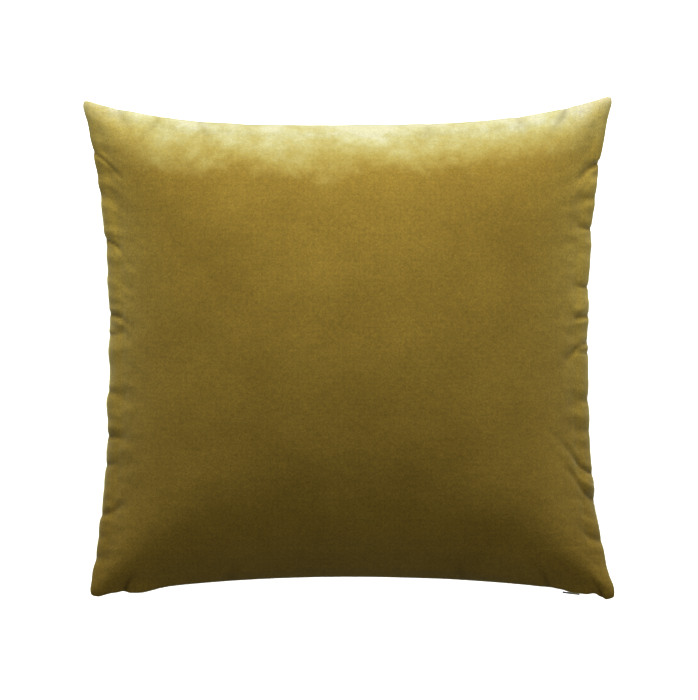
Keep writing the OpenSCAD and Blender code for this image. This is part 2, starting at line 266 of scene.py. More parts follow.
def swell(start, cut, frontIds, backIds, onEdge):
    # cloth that starts as the domes and wants to be the flat cuts, blown up while its seam is held
    faces = np.concatenate([gridFaces(frontIds), gridFaces(backIds, True)])
    mesh = bpy.data.meshes.new("blank")
    mesh.from_pydata(start.tolist(), [], faces.tolist())
    blank = bpy.data.objects.new("blank", mesh)
    bpy.context.scene.collection.objects.link(blank)
    blank.shape_key_add(name="swollen")
    flat = blank.shape_key_add(name="cut")
    flat.data.foreach_set("co", cut.astype(np.float32).ravel())
    flat.value = 0
    held = blank.vertex_groups.new(name="seam")
    held.add(frontIds[onEdge].tolist(), 1.0, "REPLACE")
    cloth = blank.modifiers.new("cloth", "CLOTH")
    cloth.point_cache.frame_end = sewing["frames"]
    sewn = cloth.settings
    sewn.quality = sewing["quality"]
    sewn.mass = sewing["mass"]
    sewn.tension_stiffness = sewing["stretch"]
    sewn.compression_stiffness = sewing["stretch"]
    sewn.shear_stiffness = sewing["shear"]
    sewn.bending_stiffness = sewing["bend"]
    sewn.use_pressure = True
    sewn.uniform_pressure_force = sewing["pressure"]
    sewn.vertex_group_mass = "seam"
    sewn.rest_shape_key = flat
    sewn.effector_weights.gravity = 0
    scene = bpy.context.scene
    for step in range(1, sewing["frames"] + 1):
        scene.frame_set(step)
    settled = blank.evaluated_get(bpy.context.evaluated_depsgraph_get())
    result = settled.to_mesh()
    points = np.empty(len(result.vertices) * 3, np.float32)
    result.vertices.foreach_get("co", points)
    settled.to_mesh_clear()
    bpy.data.objects.remove(blank)
    scene.frame_set(1)
    return points.reshape(-1, 3).astype(float)


def simulateCover():
    # two square panels share their outline, and each starts as a low dome
    n = sewing["cells"] + 1
    spread = np.linspace(-1, 1, n)
    spread = np.sign(spread) * np.abs(spread) ** sewing["crowding"]
    u, v = np.meshgrid(spread, spread, indexing="ij")
    x, y = outlinePlace(u, v)
    dome = np.clip((1 - u ** 2) * (1 - v ** 2), 0, 1) ** 0.5
    onEdge = dome == 0
    inside = ~onEdge
    front = np.stack([x, y, seamHeight + dome * sewing["crown"]], -1)
    back = np.stack([x, y, seamHeight - dome * sewing["crown"] * sewing["backShare"]], -1)
    cut = np.stack([u * form["cutWidth"] / 2, v * form["cutDepth"] / 2, np.full_like(u, seamHeight)], -1)
    frontIds = np.arange(n * n).reshape(n, n)
    backIds = frontIds.copy()
    backIds[inside] = n * n + np.arange(inside.sum())
    points = np.concatenate([front.reshape(-1, 3), back[inside]])
    cuts = np.concatenate([cut.reshape(-1, 3), cut[inside]])
    points = swell(points, cuts, frontIds, backIds, onEdge)
    print("cover swollen")
    return spread, points[frontIds], points[backIds]


def cubicRows(grid, at, spread):
    # Catmull-Rom curve through the rows of a grid, read at new places
    place = np.interp(at, spread, np.arange(len(spread)))
    first = np.clip(place.astype(int), 0, len(spread) - 2)
    t = (place - first)[:, None, None]
    a = grid[np.clip(first - 1, 0, None)]
    b = grid[first]
    c = grid[first + 1]
    d = grid[np.clip(first + 2, None, len(spread) - 1)]
    square = (2 * a - 5 * b + 4 * c - d) * t ** 2
    return 0.5 * (2 * b + (c - a) * t + square + (3 * b - a - 3 * c + d) * t ** 3)


fineSpread = np.linspace(-1, 1, form["fineCells"] + 1)
fineSpread = np.sign(fineSpread) * (1 - (1 - np.abs(fineSpread)) ** form["fineCrowding"])


def refine(grid, spread):
    rows = cubicRows(grid, fineSpread, spread)
    return cubicRows(rows.transpose(1, 0, 2), fineSpread, spread).transpose(1, 0, 2)


def surfaceNormals(grid):
    # cross product of the two directions of the grid
    n = np.cross(np.gradient(grid, axis=0), np.gradient(grid, axis=1))
    return n / (np.linalg.norm(n, axis=-1, keepdims=True) + 1e-12)


# puckers: edge, place along it, length, lean along the edge, depth, width, all but the place in mm
puckers = [
    ("left", 0.79, 18, 0.9, 1.3, 3), ("left", 0.72, 36, 1.0, -0.3, 10),
    ("left", 0.44, 16, 0.9, 1.4, 3), ("left", 0.38, 34, 0.9, -0.3, 9), ("left", 0.30, 18, 0.2, 0.6, 7),
    ("left", 0.14, 20, 0.5, 1.5, 4), ("left", 0.10, 36, 0.6, 0.6, 9), ("left", 0.05, 14, -0.3, 1.0, 4),
    ("left", -0.17, 16, 0.3, 0.9, 5), ("left", -0.35, 24, 0.2, 1.1, 5),
    ("left", -0.47, 12, -0.4, 0.9, 4), ("left", -0.67, 24, -0.5, 1.1, 6),
    ("left", 0.62, 18, 0.3, 0.6, 8), ("left", -0.84, 16, -0.6, 0.8, 7),
    ("right", 0.73, 16, 0.5, 2.6, 4.5), ("right", 0.66, 40, 0.4, -0.7, 12),
    ("right", 0.60, 18, 0.2, 0.6, 7), ("right", 0.47, 18, -0.3, 1.3, 4),
    ("right", 0.41, 34, -0.6, -0.5, 9), ("right", 0.24, 14, -0.3, 1.3, 3.5),
    ("right", 0.18, 30, 0.9, -0.6, 8), ("right", 0.13, 18, 0.2, 1.6, 4),
    ("right", 0.03, 22, 0.8, 1.2, 5), ("right", -0.02, 12, -0.3, 0.9, 3.5),
    ("right", -0.20, 16, 0.3, 0.7, 6), ("right", -0.33, 22, -0.5, 0.8, 7),
    ("right", -0.50, 26, -0.95, 1.5, 5), ("right", -0.56, 30, -0.95, -0.8, 4),
    ("right", -0.60, 18, -1.0, 1.5, 5), ("right", -0.76, 20, -0.5, 0.9, 6),
    ("far", -0.86, 20, -0.4, 0.7, 7), ("far", -0.55, 16, -0.3, 0.4, 9), ("far", 0.30, 14, 0.2, 0.4, 9),
    ("far", 0.82, 24, 0.5, 0.9, 8), ("far", 0.64, 16, -0.3, 0.5, 8), ("far", -0.70, 30, 0.9, 0.5, 5),
    ("zip", -0.86, 14, -0.4, 1.6, 4), ("zip", 0.945, 12, 0.4, 1.8, 4),
    ("zip", -0.45, 14, -0.2, 0.5, 9), ("zip", 0.42, 14, 0.2, 0.5, 9), ("zip", 0.74, 16, 0.3, 0.9, 5),
]
# swellings that hang over the seam: edge, place along it, width, how far they reach out, in mm
swellings = [
    ("zip", -0.80, 17, 3.8), ("zip", -0.865, 4, -2.0), ("zip", 0.835, 9, 3.2), ("zip", 0.88, 5, 2.6),
    ("zip", 0.74, 4, -1.0), ("zip", 0.52, 45, -1.0), ("left", 0.60, 20, 0.7), ("left", -0.22, 14, 1.8),
    ("right", -0.62, 30, -1.0), ("right", 0.68, 7, -1.6),
]
gathers = {
    "ridge": 0.18,             # each pucker's side ridges, as a share of its depth
    "ridgePlace": 1.7,         # widths from its middle
    "mouthCalm": 0.8,          # how much of it is lost beside the zip
    "dark": 1.5,               # depth in mm at which a crease's painted shade is full
    "waves": 5,                # the seam's slow wander
    "waveLength": (18, 70),    # mm
    "waveSwing": (0.10, 0.34),  # mm
    "plainSwing": 0.35,        # share of the swing on the edges that aren't gathered
    "pull": 0.5,               # how much of its depth a pucker pulls the seam in
    "pullWidth": 0.75,
    "fade": 13 * mm,           # the wander and the pulls fade over this
    "leanFrom": 0.5 * mm,      # the lean over the seam starts this far in
    "leanOver": 0.8 * mm,
    "leanPlace": (2.2, 1.4),   # mm, on a sewn edge and beside the zip
    "leanWidth": (4.0, 2.4),   # mm
    "lumps": 30,               # small lumps beside the gathered seams
    "lumpLength": (10, 34),    # mm
    "lumpHeight": 0.42 * mm,
    "lumpReach": 30 * mm,
    "swells": 10,              # slow swells of the filling
    "swellHeight": 0.35 * mm,
}
# which way is inwards from each edge
inwards = {"left": (1, 0), "right": (-1, 0), "far": (0, -1), "zip": (0, 1)}


def fromEdge(edge, u, v):
    # place along the edge from its middle, and distance in from it
    if edge == "left":
        return v * halfDepth, (1 + u) * halfWidth
    if edge == "right":
        return v * halfDepth, (1 - u) * halfWidth
    if edge == "far":
        return u * halfWidth, (1 - v) * halfDepth
    return u * halfWidth, (1 + v) * halfDepth


def puckerDepth(u, v):
    # each is a groove from the seam that leans and fades inwards, with a soft ridge on both sides; the
    # second result is the mask of painted shade in the creases, 1 along the bottom of a deep groove and 0
    # away from it
    total = np.zeros_like(u)
    creaseShade = np.zeros_like(u)
    for edge, place, length, lean, depth, width in puckers:
        along, inward = fromEdge(edge, u, v)
        middle = place * (halfDepth if edge in ("left", "right") else halfWidth)
        across = along - middle + lean * inward
        wide = width * mm * (0.45 + 0.9 * np.clip(inward / (length * mm), 0, 2))
        beside = gathers["ridgePlace"] * wide
        groove = bell(across, wide)
        ridges = bell(across - beside, wide) + bell(across + beside, wide)
        fade = np.exp(-1.2 * (inward / (length * mm)) ** 2)
        total += (gathers["ridge"] * ridges - groove) * fade * depth * mm
        creaseShade = np.maximum(creaseShade, groove ** 2 * fade * np.clip(depth / gathers["dark"], 0, 1))
    return total, creaseShade


def drawnIn(u, v):
    # how far the cloth and its seam are drawn in: bells at the puckers, and a slow wander of five
    # sines along the edge, both gone a few centimetres in; then a bell of cloth leans out over the seam
    moveX = np.zeros_like(u)
    moveY = np.zeros_like(u)
    chance = np.random.default_rng(21)
    for edge, (towardsX, towardsY) in inwards.items():
        along, inward = fromEdge(edge, u, v)
        gathered = edge in ("left", "right")
        halfEdge = halfDepth if gathered else halfWidth
        mouth = inMouth(along, -halfDepth) if edge == "zip" else 0.0
        amount = np.zeros_like(u)
        for _ in range(gathers["waves"]):
            wave = chance.uniform(*gathers["waveLength"]) * mm
            swing = chance.uniform(*gathers["waveSwing"]) * mm * (1 if gathered else gathers["plainSwing"])
            amount += swing * np.sin(2 * np.pi * along / wave + chance.uniform(0, 6.28))
        for which, place, _, _, depth, width in puckers:
            if which == edge:
                pull = gathers["pull"] * depth * mm
                amount += pull * bell(along - place * halfEdge, gathers["pullWidth"] * width * mm)
        amount *= (1 - mouth) * bell(inward, gathers["fade"])
        hang = np.full_like(u, form["overhang"])
        for which, place, width, reach in swellings:
            if which == edge:
                hang += reach * mm * bell(along - place * halfEdge, width * mm)
        above = np.clip((inward - gathers["leanFrom"]) / gathers["leanOver"], 0, 1)
        leanPlace, leanWidth = (sewn + (zipped - sewn) * mouth
                                for sewn, zipped in (gathers["leanPlace"], gathers["leanWidth"]))
        lean = bell(inward - leanPlace * mm, leanWidth * mm)
        amount -= hang * above * lean * (1 - np.abs(u * v) ** 10)
        moveX += towardsX * amount
        moveY += towardsY * amount
    return moveX, moveY


def softWaves(u, v, seed):
    # slow swells of the filling under the cloth: a few broad sines with seeded phases
    chance = np.random.default_rng(seed)
    total = np.zeros_like(u)
    for _ in range(gathers["swells"]):
        fx, fy = chance.normal(0, 5, 2)
        total += np.sin(fx * u + fy * v + chance.uniform(0, 6.28)) * chance.uniform(0.2, 0.6)
    return total * gathers["swellHeight"]


def crumple(u, v, seed):
    # small irregular lumps beside the gathered seams: thirty seeded plane waves, faded inwards
    chance = np.random.default_rng(seed)
    total = np.zeros_like(u)
    for _ in range(gathers["lumps"]):
        wave = 2 * np.pi / (chance.uniform(*gathers["lumpLength"]) * mm)
        heading = chance.uniform(0, np.pi)
        phase = chance.uniform(0, 2 * np.pi)
        along = np.cos(heading) * u * halfWidth + np.sin(heading) * v * halfDepth
        total += np.sin(wave * along + phase)
    beside = bell((1 - np.abs(u)) * halfWidth, gathers["lumpReach"]) * (1 - np.abs(v) ** 6)
    return total / np.sqrt(gathers["lumps"]) * gathers["lumpHeight"] * beside


def finishPanel(grid, upward, seed):
    # the swollen panel scaled to its crown, then pushed along its normals by puckers, swells and the
    # roll, drawn in at the seam, lifted off the seam's plane, and on the back pressed flat
    u, v = np.meshgrid(fineSpread, fineSpread, indexing="ij")
    side = 1 if upward else -1
    grid = grid.copy()
    if upward:
        rise = grid[..., 2] - seamHeight
        grid[..., 2] = seamHeight + rise * (crownHeight - form["crownGap"] - seamHeight) / rise.max()
    grid[..., 0], grid[..., 1] = roundCorners(grid[..., 0], grid[..., 1], u, v)
    normals = surfaceNormals(grid) * side
    mouth = inMouth(grid[..., 0], grid[..., 1])
    calm = 1 - gathers["mouthCalm"] * mouth
    edgeFade = np.clip((1 - u ** 2) * (1 - v ** 2), 0, 1) ** 0.35
    push = puckerDepth(u, v)[0] * calm + softWaves(u, v, seed) * edgeFade
    push += crumple(u, v, seed + 40)
    # the cloth rolls over its seam, so just inside the seam it stands a little proud
    inward = np.minimum((1 - np.abs(u)) * halfWidth, (1 - np.abs(v)) * halfDepth)
    sewn = 1 - np.abs(u * v) ** 6  # fades to 0 at the corners
    roll = bell(inward - form["rollPlace"], form["rollWidth"]) * form["roll"] * sewn * calm
    keep = np.clip(inward / (2.5 * mm), 0, 1)
    moved = grid + normals * ((push + roll) * keep)[..., None]
    moveX, moveY = drawnIn(u, v)
    moved[..., 0] += moveX
    moved[..., 1] += moveY
    climb = (1 - np.exp(-inward / form["riseWithin"])) * np.exp(-inward / form["riseFade"])
    climb *= form["edgeRise"] + (form["mouthRise"] - form["edgeRise"]) * mouth
    moved[..., 2] += side * (lipAt(mouth) * bell(inward, form["lipFade"]) + climb * sewn)
    if not upward:
        soft = form["floorPress"]
        start = form["floorGap"] + soft
        z = moved[..., 2]
        moved[..., 2] = np.where(z < start, start - soft + soft * np.exp((z - start) / soft), z)
        moved[..., 2] -= moved[..., 2].min()
    return moved


def insetRim(panel, inset, height, side):
    # the seam's loop drawn in towards the middle and set at a height from the seam's plane
    rim = rimOf(panel).copy()
    u, v = (rimOf(part) for part in np.meshgrid(fineSpread, fineSpread, indexing="ij"))
    rim[:, 0] -= inset * np.sign(u) * np.abs(u) ** 9
    rim[:, 1] -= inset * np.sign(v) * np.abs(v) ** 9
    rim[:, 2] = seamHeight + side * height
    return rim


def closedPanel(panel, upward):
    # outer skin, lip, turned-in allowance and inner skin, as one closed sheet of cloth
    side = 1 if upward else -1
    thick = form["velvetThick"]
    gap = form["underSkin"]
    edge = rimOf(panel)
    mouth = inMouth(edge[:, 0], edge[:, 1])
    sewnGap = 0.1 * mm
    flat = sewnGap + (zipMouth["chamber"] - sewnGap) * mouth
    allowance = form["allowance"] + thick
    loops = [insetRim(panel, thick, lipAt(mouth) * 0.6 + 0.4 * zipMouth["lip"] * mouth, side),
             insetRim(panel, thick + gap / 2, flat, side),
             insetRim(panel, allowance, flat, side),
             insetRim(panel, allowance, flat + thick, side),
             insetRim(panel, thick + gap, flat + thick, side)]
    inner = innerLayer(panel, upward, thick + 2 * gap, thick)
    n = panel.shape[0]
    outerIds = np.arange(n * n).reshape(n, n)
    perimeter = 4 * (n - 1)
    loopIds = n * n + np.arange(len(loops) * perimeter).reshape(len(loops), perimeter)
    m = inner.shape[0]
    innerIds = n * n + len(loops) * perimeter + np.arange(m * m).reshape(m, m)
    faces = gridFaces(outerIds, not upward).tolist() + gridFaces(innerIds, upward).tolist()
    chain = [rimOf(outerIds)] + list(loopIds)
    for first, second in zip(chain, chain[1:]):
        quads = np.stack([np.roll(first, -1), first, second, np.roll(second, -1)], -1)
        faces += (quads if upward else quads[:, ::-1]).tolist()
    # the inner skin has half as many cells, so two steps of the last loop meet one of its own
    last, coarse = loopIds[-1], rimOf(innerIds)
    five = np.stack([np.roll(last, -2)[::2], last[1::2], last[::2], coarse, np.roll(coarse, -1)], -1)
    faces += (five if upward else five[:, ::-1]).tolist()
    across, away = np.meshgrid(fineSpread, fineSpread, indexing="ij")
    cloth = np.stack([across, away], -1) * 0.5 + 0.5
    if not upward:
        cloth[..., 1] *= 0.9  # so the back's far edge gets no painted highlight and sheen
    rimCloth = cloth.reshape(-1, 2)[rimOf(outerIds)]
    points = np.concatenate([panel.reshape(-1, 3)] + loops + [inner.reshape(-1, 3)])
    uv = np.concatenate([cloth.reshape(-1, 2)] + [rimCloth] * len(loops) + [cloth[::2, ::2].reshape(-1, 2)])
    # painted shade for the creases of the outer skin, none on the other points
    creaseShade = puckerDepth(across, away)[1].ravel()
    return points, faces, uv, np.concatenate([creaseShade, np.zeros(len(points) - len(creaseShade))])


# velvet

velvetLook = {
    "deep": (0.150, 0.094, 0.0105, 1),
    "light": (0.215, 0.139, 0.0180, 1),
    "sheenTint": (1.0, 0.96, 0.52, 1),
    "sheen": 1.0,
    "sheenRoughness": 0.34,
    "roughness": 0.92,
    "gloss": 0.12,
    # the painted highlight and sheen of the far light along the far edge, with pale nap smudges: share of
    # the panel's depth, colour, how much of it
    "paintedSheen": [(0.868, (0.20, 0.135, 0.021), 0), (0.905, (0.235, 0.172, 0.034), 0.9),
                (0.930, (0.265, 0.212, 0.052), 1), (0.955, (0.300, 0.262, 0.092), 1),
                (0.978, (0.345, 0.325, 0.160), 1), (0.994, (0.390, 0.375, 0.240), 1)],
    "paintedSheenSmudge": 0.20,              # how much its border wanders
    "paintedSheenEnds": 0.14,                # how far from each corner it reaches its full strength
    "paintedSheenFloor": 0.35,               # how strong it still is at the corners
    "paintedSheenNarrow": 0.10,              # how much shallower it is near the corners
    "paintedSheenCalm": 0.45,                # how much less the tufts show in it
    "wearAndPaintedSheen": (1.62, 1.80, 2.4, 1),     # painted sheen: how much paler the pile is drawn at the side seams
    "paintedSideSheenReach": 0.19,                # how far in that fades away, as a share of the panel
    "paintedSideSheenSmudge": 0.09,
    "paintedSideSheenFrom": (0.02, 0.72),         # it grows between these shares of the panel's depth
    "paintedCreaseShade": (0.42, 0.38, 0.34, 1),  # painted shade that darkens the pile in a crease
    "tuft": 620,                        # tufts and threads in a metre
    "weave": 420,
    "mottle": 190,                      # patches of each kind in a metre
    "patches": 14,
    "smudges": 21,
}


def newMaterial(name):
    material = bpy.data.materials.new(name)
    material.use_nodes = True
    nodes = material.node_tree.nodes
    return material, nodes, material.node_tree.links, nodes["Principled BSDF"]


def noise(nodes, links, coordinates, scale, detail=3.0, roughness=0.5):
    texture = nodes.new("ShaderNodeTexNoise")
    texture.inputs["Scale"].default_value = scale
    texture.inputs["Detail"].default_value = detail
    texture.inputs["Roughness"].default_value = roughness
    links.new(coordinates, texture.inputs["Vector"])
    return texture.outputs["Fac"]


def mathNode(nodes, links, operation, *values):
    node = nodes.new("ShaderNodeMath")
    node.operation = operation
    for socket, value in zip(node.inputs, values):
        if isinstance(value, (int, float)):
            socket.default_value = value
        else:
            links.new(value, socket)
    return node.outputs["Value"]


def between(nodes, links, value, low, high, least=0.0, smooth=True):
    # from least at low to 1 at high, level beyond them
    node = nodes.new("ShaderNodeMapRange")
    if smooth:
        node.interpolation_type = "SMOOTHSTEP"
    node.inputs["From Min"].default_value = low
    node.inputs["From Max"].default_value = high
    node.inputs["To Min"].default_value = least
    links.new(value, node.inputs["Value"])
    return node.outputs["Result"]


def tinted(nodes, links, base, colour, amount, blend="MULTIPLY"):
    # the base colour with another laid over it by an amount
    mix = nodes.new("ShaderNodeMix")
    mix.data_type = "RGBA"
    mix.blend_type = blend
    links.new(amount, mix.inputs["Factor"])
    links.new(base, mix.inputs["A"])
    if isinstance(colour, tuple):
        mix.inputs["B"].default_value = colour
    else:
        links.new(colour, mix.inputs["B"])
    return mix.outputs["Result"]


def crossedWaves(nodes, links, where, scale, distortion, detailScale=1.0):
    # two sets of ribs, one across X and one across Y
    ribs = []
    for direction in ("X", "Y"):
        wave = nodes.new("ShaderNodeTexWave")
        wave.bands_direction = direction
        wave.inputs["Scale"].default_value = scale
        wave.inputs["Distortion"].default_value = distortion
        wave.inputs["Detail Scale"].default_value = detailScale
        links.new(where, wave.inputs["Vector"])
        ribs.append(wave.outputs["Fac"])
    return ribs


def ramp(nodes, links, factor, low, high, lowAt=0.35, highAt=0.65):
    blend = nodes.new("ShaderNodeValToRGB")
    blend.color_ramp.elements[0].position = lowAt
    blend.color_ramp.elements[1].position = highAt
    blend.color_ramp.elements[0].color = low
    blend.color_ramp.elements[1].color = high
    links.new(factor, blend.inputs["Fac"])
    return blend.outputs["Color"]


def bump(nodes, links, shader, height, strength, distance, below=None):
    node = nodes.new("ShaderNodeBump")
    node.inputs["Strength"].default_value = strength
    node.inputs["Distance"].default_value = distance
    links.new(height, node.inputs["Height"])
    if below is not None:
        links.new(below, node.inputs["Normal"])
    links.new(node.outputs["Normal"], shader.inputs["Normal"])
    return node.outputs["Normal"]


def makeVelvet():
    look = velvetLook
    material, nodes, links, shader = newMaterial("velvet")
    where = nodes.new("ShaderNodeTexCoord").outputs["Object"]
    patches = noise(nodes, links, where, look["patches"], 4, 0.6)  # where a hand has brushed the pile
    tufts = noise(nodes, links, where, look["tuft"], 3, 0.7)
    mottle = noise(nodes, links, where, look["mottle"], 4, 0.65)
    base = ramp(nodes, links, patches, look["deep"], look["light"], 0.15, 0.85)
    # along the far edge a painted highlight and sheen of the far light, with pale nap smudges, lightens the
    # pile
    cloth = nodes.new("ShaderNodeUVMap")
    cloth.uv_map = "cloth"
    apart = nodes.new("ShaderNodeSeparateXYZ")
    links.new(cloth.outputs["UV"], apart.inputs["Vector"])
    across, away = apart.outputs["X"], apart.outputs["Y"]
    smudge = noise(nodes, links, where, look["smudges"], 6, 0.68)
    centred = mathNode(nodes, links, "SUBTRACT", smudge, 0.5)
    spread = mathNode(nodes, links, "MULTIPLY", centred, look["paintedSheenSmudge"])
    off = mathNode(nodes, links, "SUBTRACT", across, 0.5)
    narrow = mathNode(nodes, links, "MULTIPLY", mathNode(nodes, links, "MULTIPLY", off, off),
                      look["paintedSheenNarrow"])
    reached = mathNode(nodes, links, "SUBTRACT", away, narrow)
    depth = mathNode(nodes, links, "ADD", spread, reached)
    paintedSheenBand = nodes.new("ShaderNodeValToRGB")
    stops = paintedSheenBand.color_ramp.elements
    while len(stops) < len(look["paintedSheen"]):
        stops.new(0.5)
    for stop, (place, colour, strength) in zip(stops, look["paintedSheen"]):
        stop.position = place
        stop.color = colour + (strength,)
    links.new(depth, paintedSheenBand.inputs["Fac"])
    # the band fades out before the corners
    fromSide = mathNode(nodes, links, "PINGPONG", across, 0.5)
    ends = between(nodes, links, fromSide, 0.0, look["paintedSheenEnds"], look["paintedSheenFloor"])
    amount = mathNode(nodes, links, "MULTIPLY", paintedSheenBand.outputs["Alpha"], ends)
    # the painted highlight and sheen is mixed into the base colour here
    base = tinted(nodes, links, base, paintedSheenBand.outputs["Color"], amount, "MIX")
    # beside the gathered seams painted sheen makes the pile paler, less so towards the zip
    beside = mathNode(nodes, links, "MULTIPLY_ADD", centred, look["paintedSideSheenSmudge"], fromSide)
    nearSeam = between(nodes, links, beside, look["paintedSideSheenReach"], 0.0, smooth=False)
    rim = mathNode(nodes, links, "MULTIPLY", nearSeam, nearSeam)
    wearAndPaintedSheen = mathNode(nodes, links, "MULTIPLY", rim, between(nodes, links, away, *look["paintedSideSheenFrom"]))
    # the painted sheen at the side seams multiplies the base colour here
    base = tinted(nodes, links, base, look["wearAndPaintedSheen"], wearAndPaintedSheen)
    # painted shade darkens the pile along the creases
    creaseShadeMask = nodes.new("ShaderNodeAttribute")
    creaseShadeMask.attribute_name = "creaseShade"
    base = tinted(nodes, links, base, look["paintedCreaseShade"], creaseShadeMask.outputs["Fac"])
    # tufts, a faint weave showing through the pile, and slow mottling darken or lighten any of it
    warp, weft = crossedWaves(nodes, links, where, look["weave"] / 6.28, 1.2, 2)
    ribs = mathNode(nodes, links, "MULTIPLY", mathNode(nodes, links, "ADD", weft, warp), 0.5)
    calmer = mathNode(nodes, links, "SUBTRACT", 1.0,
                      mathNode(nodes, links, "MULTIPLY", amount, look["paintedSheenCalm"]))
    for factor, low, high, lowAt, highAt in (
            (tufts, (0.72, 0.72, 0.70, 1), (1.24, 1.24, 1.22, 1), 0.3, 0.7),
            (mottle, (0.91, 0.92, 0.92, 1), (1.08, 1.07, 1.05, 1), 0.3, 0.7),
            (ribs, (0.97, 0.97, 0.97, 1), (1.03, 1.03, 1.03, 1), 0, 1)):
        base = tinted(nodes, links, base, ramp(nodes, links, factor, low, high, lowAt, highAt), calmer)
    links.new(base, shader.inputs["Base Color"])
    shader.inputs["Roughness"].default_value = look["roughness"]
    shader.inputs["Specular IOR Level"].default_value = look["gloss"]
    shader.inputs["Sheen Weight"].default_value = look["sheen"]
    shader.inputs["Sheen Roughness"].default_value = look["sheenRoughness"]
    shader.inputs["Sheen Tint"].default_value = look["sheenTint"]
    lean = bump(nodes, links, shader, patches, 0.5, 3 * mm)
    pile = bump(nodes, links, shader, mottle, 0.25, 0.5 * mm, lean)
    bump(nodes, links, shader, tufts, 0.5, 0.15 * mm, pile)
    return material


velvet = makeVelvet()


def plainCloth(name, colour, sheen, scale, depth):
    # a plain weave: two crossed waves of threads, with a little unevenness
    material, nodes, links, shader = newMaterial(name)
    where = nodes.new("ShaderNodeTexCoord").outputs["Object"]
    uneven = noise(nodes, links, where, 60, 4, 0.6)
    dark = tuple(c * 0.9 for c in colour[:3]) + (1,)
    links.new(ramp(nodes, links, uneven, dark, colour, 0.3, 0.7), shader.inputs["Base Color"])
    shader.inputs["Roughness"].default_value = 0.85
    shader.inputs["Specular IOR Level"].default_value = 0.2
    shader.inputs["Sheen Weight"].default_value = sheen
    last = None
    for threads in crossedWaves(nodes, links, where, scale, 0.4):
        last = bump(nodes, links, shader, threads, 0.4, depth, last)
    return material


tickingCloth = plainCloth("ticking", (0.88, 0.86, 0.80, 1), 0.1, 260, 0.2 * mm)
fibreFill = plainCloth("fibre", (0.93, 0.93, 0.90, 1), 0.4, 40, 1.2 * mm)
tapeCloth = plainCloth("zipTape", (0.115, 0.083, 0.022, 1), 0.3, 420, 0.12 * mm)
ribbon = plainCloth("labelRibbon", (0.80, 0.79, 0.75, 1), 0.5, 520, 0.05 * mm)


def thread(name, colour):
    # a twisted thread: slanting bands of plies, with fluff and a faint sheen
    material, nodes, links, shader = newMaterial(name)
    where = nodes.new("ShaderNodeTexCoord").outputs["Object"]
    plies = nodes.new("ShaderNodeTexWave")
    plies.bands_direction = "DIAGONAL"
    plies.inputs["Scale"].default_value = 480
    plies.inputs["Distortion"].default_value = 0.6
    links.new(where, plies.inputs["Vector"])
    dark = tuple(c * 0.6 for c in colour[:3]) + (1,)
    fluff = noise(nodes, links, where, 900, 3, 0.7)
    both = mathNode(nodes, links, "ADD", plies.outputs["Fac"], fluff)
    links.new(ramp(nodes, links, both, dark, colour, 0.4, 1.0), shader.inputs["Base Color"])
    shader.inputs["Roughness"].default_value = 0.8
    shader.inputs["Sheen Weight"].default_value = 0.4
    bump(nodes, links, shader, both, 0.6, 0.1 * mm)
    return material


oliveThread = thread("oliveThread", (0.16, 0.105, 0.02, 1))
paleThread = thread("overlockThread", (0.30, 0.23, 0.07, 1))
cottonThread = thread("cottonThread", (0.86, 0.84, 0.78, 1))


def lacquer(name, colour, metallic, roughness, worn):
    # a lacquered casting: fine orange peel, a few scratches, and wear where the form turns sharply
    material, nodes, links, shader = newMaterial(name)
    where = nodes.new("ShaderNodeTexCoord").outputs["Object"]
    peel = noise(nodes, links, where, 1400, 3, 0.5)
    scuffs = noise(nodes, links, where, 500, 6, 0.7)
    sharp = nodes.new("ShaderNodeNewGeometry").outputs["Pointiness"]
    wearAndPaintedSheen = mathNode(nodes, links, "ADD", mathNode(nodes, links, "MULTIPLY", scuffs, 0.25), sharp)
    links.new(ramp(nodes, links, wearAndPaintedSheen, colour, worn, 0.66, 0.74), shader.inputs["Base Color"])
    links.new(ramp(nodes, links, scuffs, (roughness,) * 3 + (1,), (roughness + 0.25,) * 3 + (1,)),
              shader.inputs["Roughness"])
    shader.inputs["Metallic"].default_value = metallic
    shader.inputs["Specular IOR Level"].default_value = 0.3
    shader.inputs["Coat Weight"].default_value = 0.12
    shader.inputs["Coat Roughness"].default_value = 0.25
    bump(nodes, links, shader, peel, 0.25, 0.05 * mm)
    return material


sliderLacquer = lacquer("sliderLacquer", (0.035, 0.034, 0.032, 1), 0.8, 0.35, (0.16, 0.15, 0.13, 1))
tabLacquer = lacquer("tabLacquer", (0.009, 0.009, 0.010, 1), 0.3, 0.38, (0.05, 0.05, 0.048, 1))


def nylon(name, colour):
    # drawn nylon: a clear coat over a colour that drifts a little along the wire
    material, nodes, links, shader = newMaterial(name)
    where = nodes.new("ShaderNodeTexCoord").outputs["Object"]
    drift = noise(nodes, links, where, 240, 3, 0.6)
    dark = tuple(c * 0.7 for c in colour[:3]) + (1,)
    links.new(ramp(nodes, links, drift, dark, colour), shader.inputs["Base Color"])
    shader.inputs["Roughness"].default_value = 0.32
    shader.inputs["Subsurface Weight"].default_value = 0.1
    shader.inputs["Subsurface Scale"].default_value = 0.5 * mm
    bump(nodes, links, shader, drift, 0.2, 0.05 * mm)
    return material


coilNylon = nylon("coilNylon", (0.10, 0.072, 0.02, 1))


def dress(material, *names):
    for name in names:
        mesh = frame["nodes"][name].data
        mesh.materials.clear()
        mesh.materials.append(material)


dress(tapeCloth, "zip_tape_front", "zip_tape_back")
dress(ribbon, "care_label")
dress(oliveThread, "zip_thread_front", "zip_thread_back", "zip_bar_tacks")
dress(cottonThread, "insert_seam_thread", "insert_closing_thread")
dress(sliderLacquer, "zip_slider", "zip_top_stops", "zip_bottom_stop")
dress(tabLacquer, "zip_pull")
print("frame dressed")

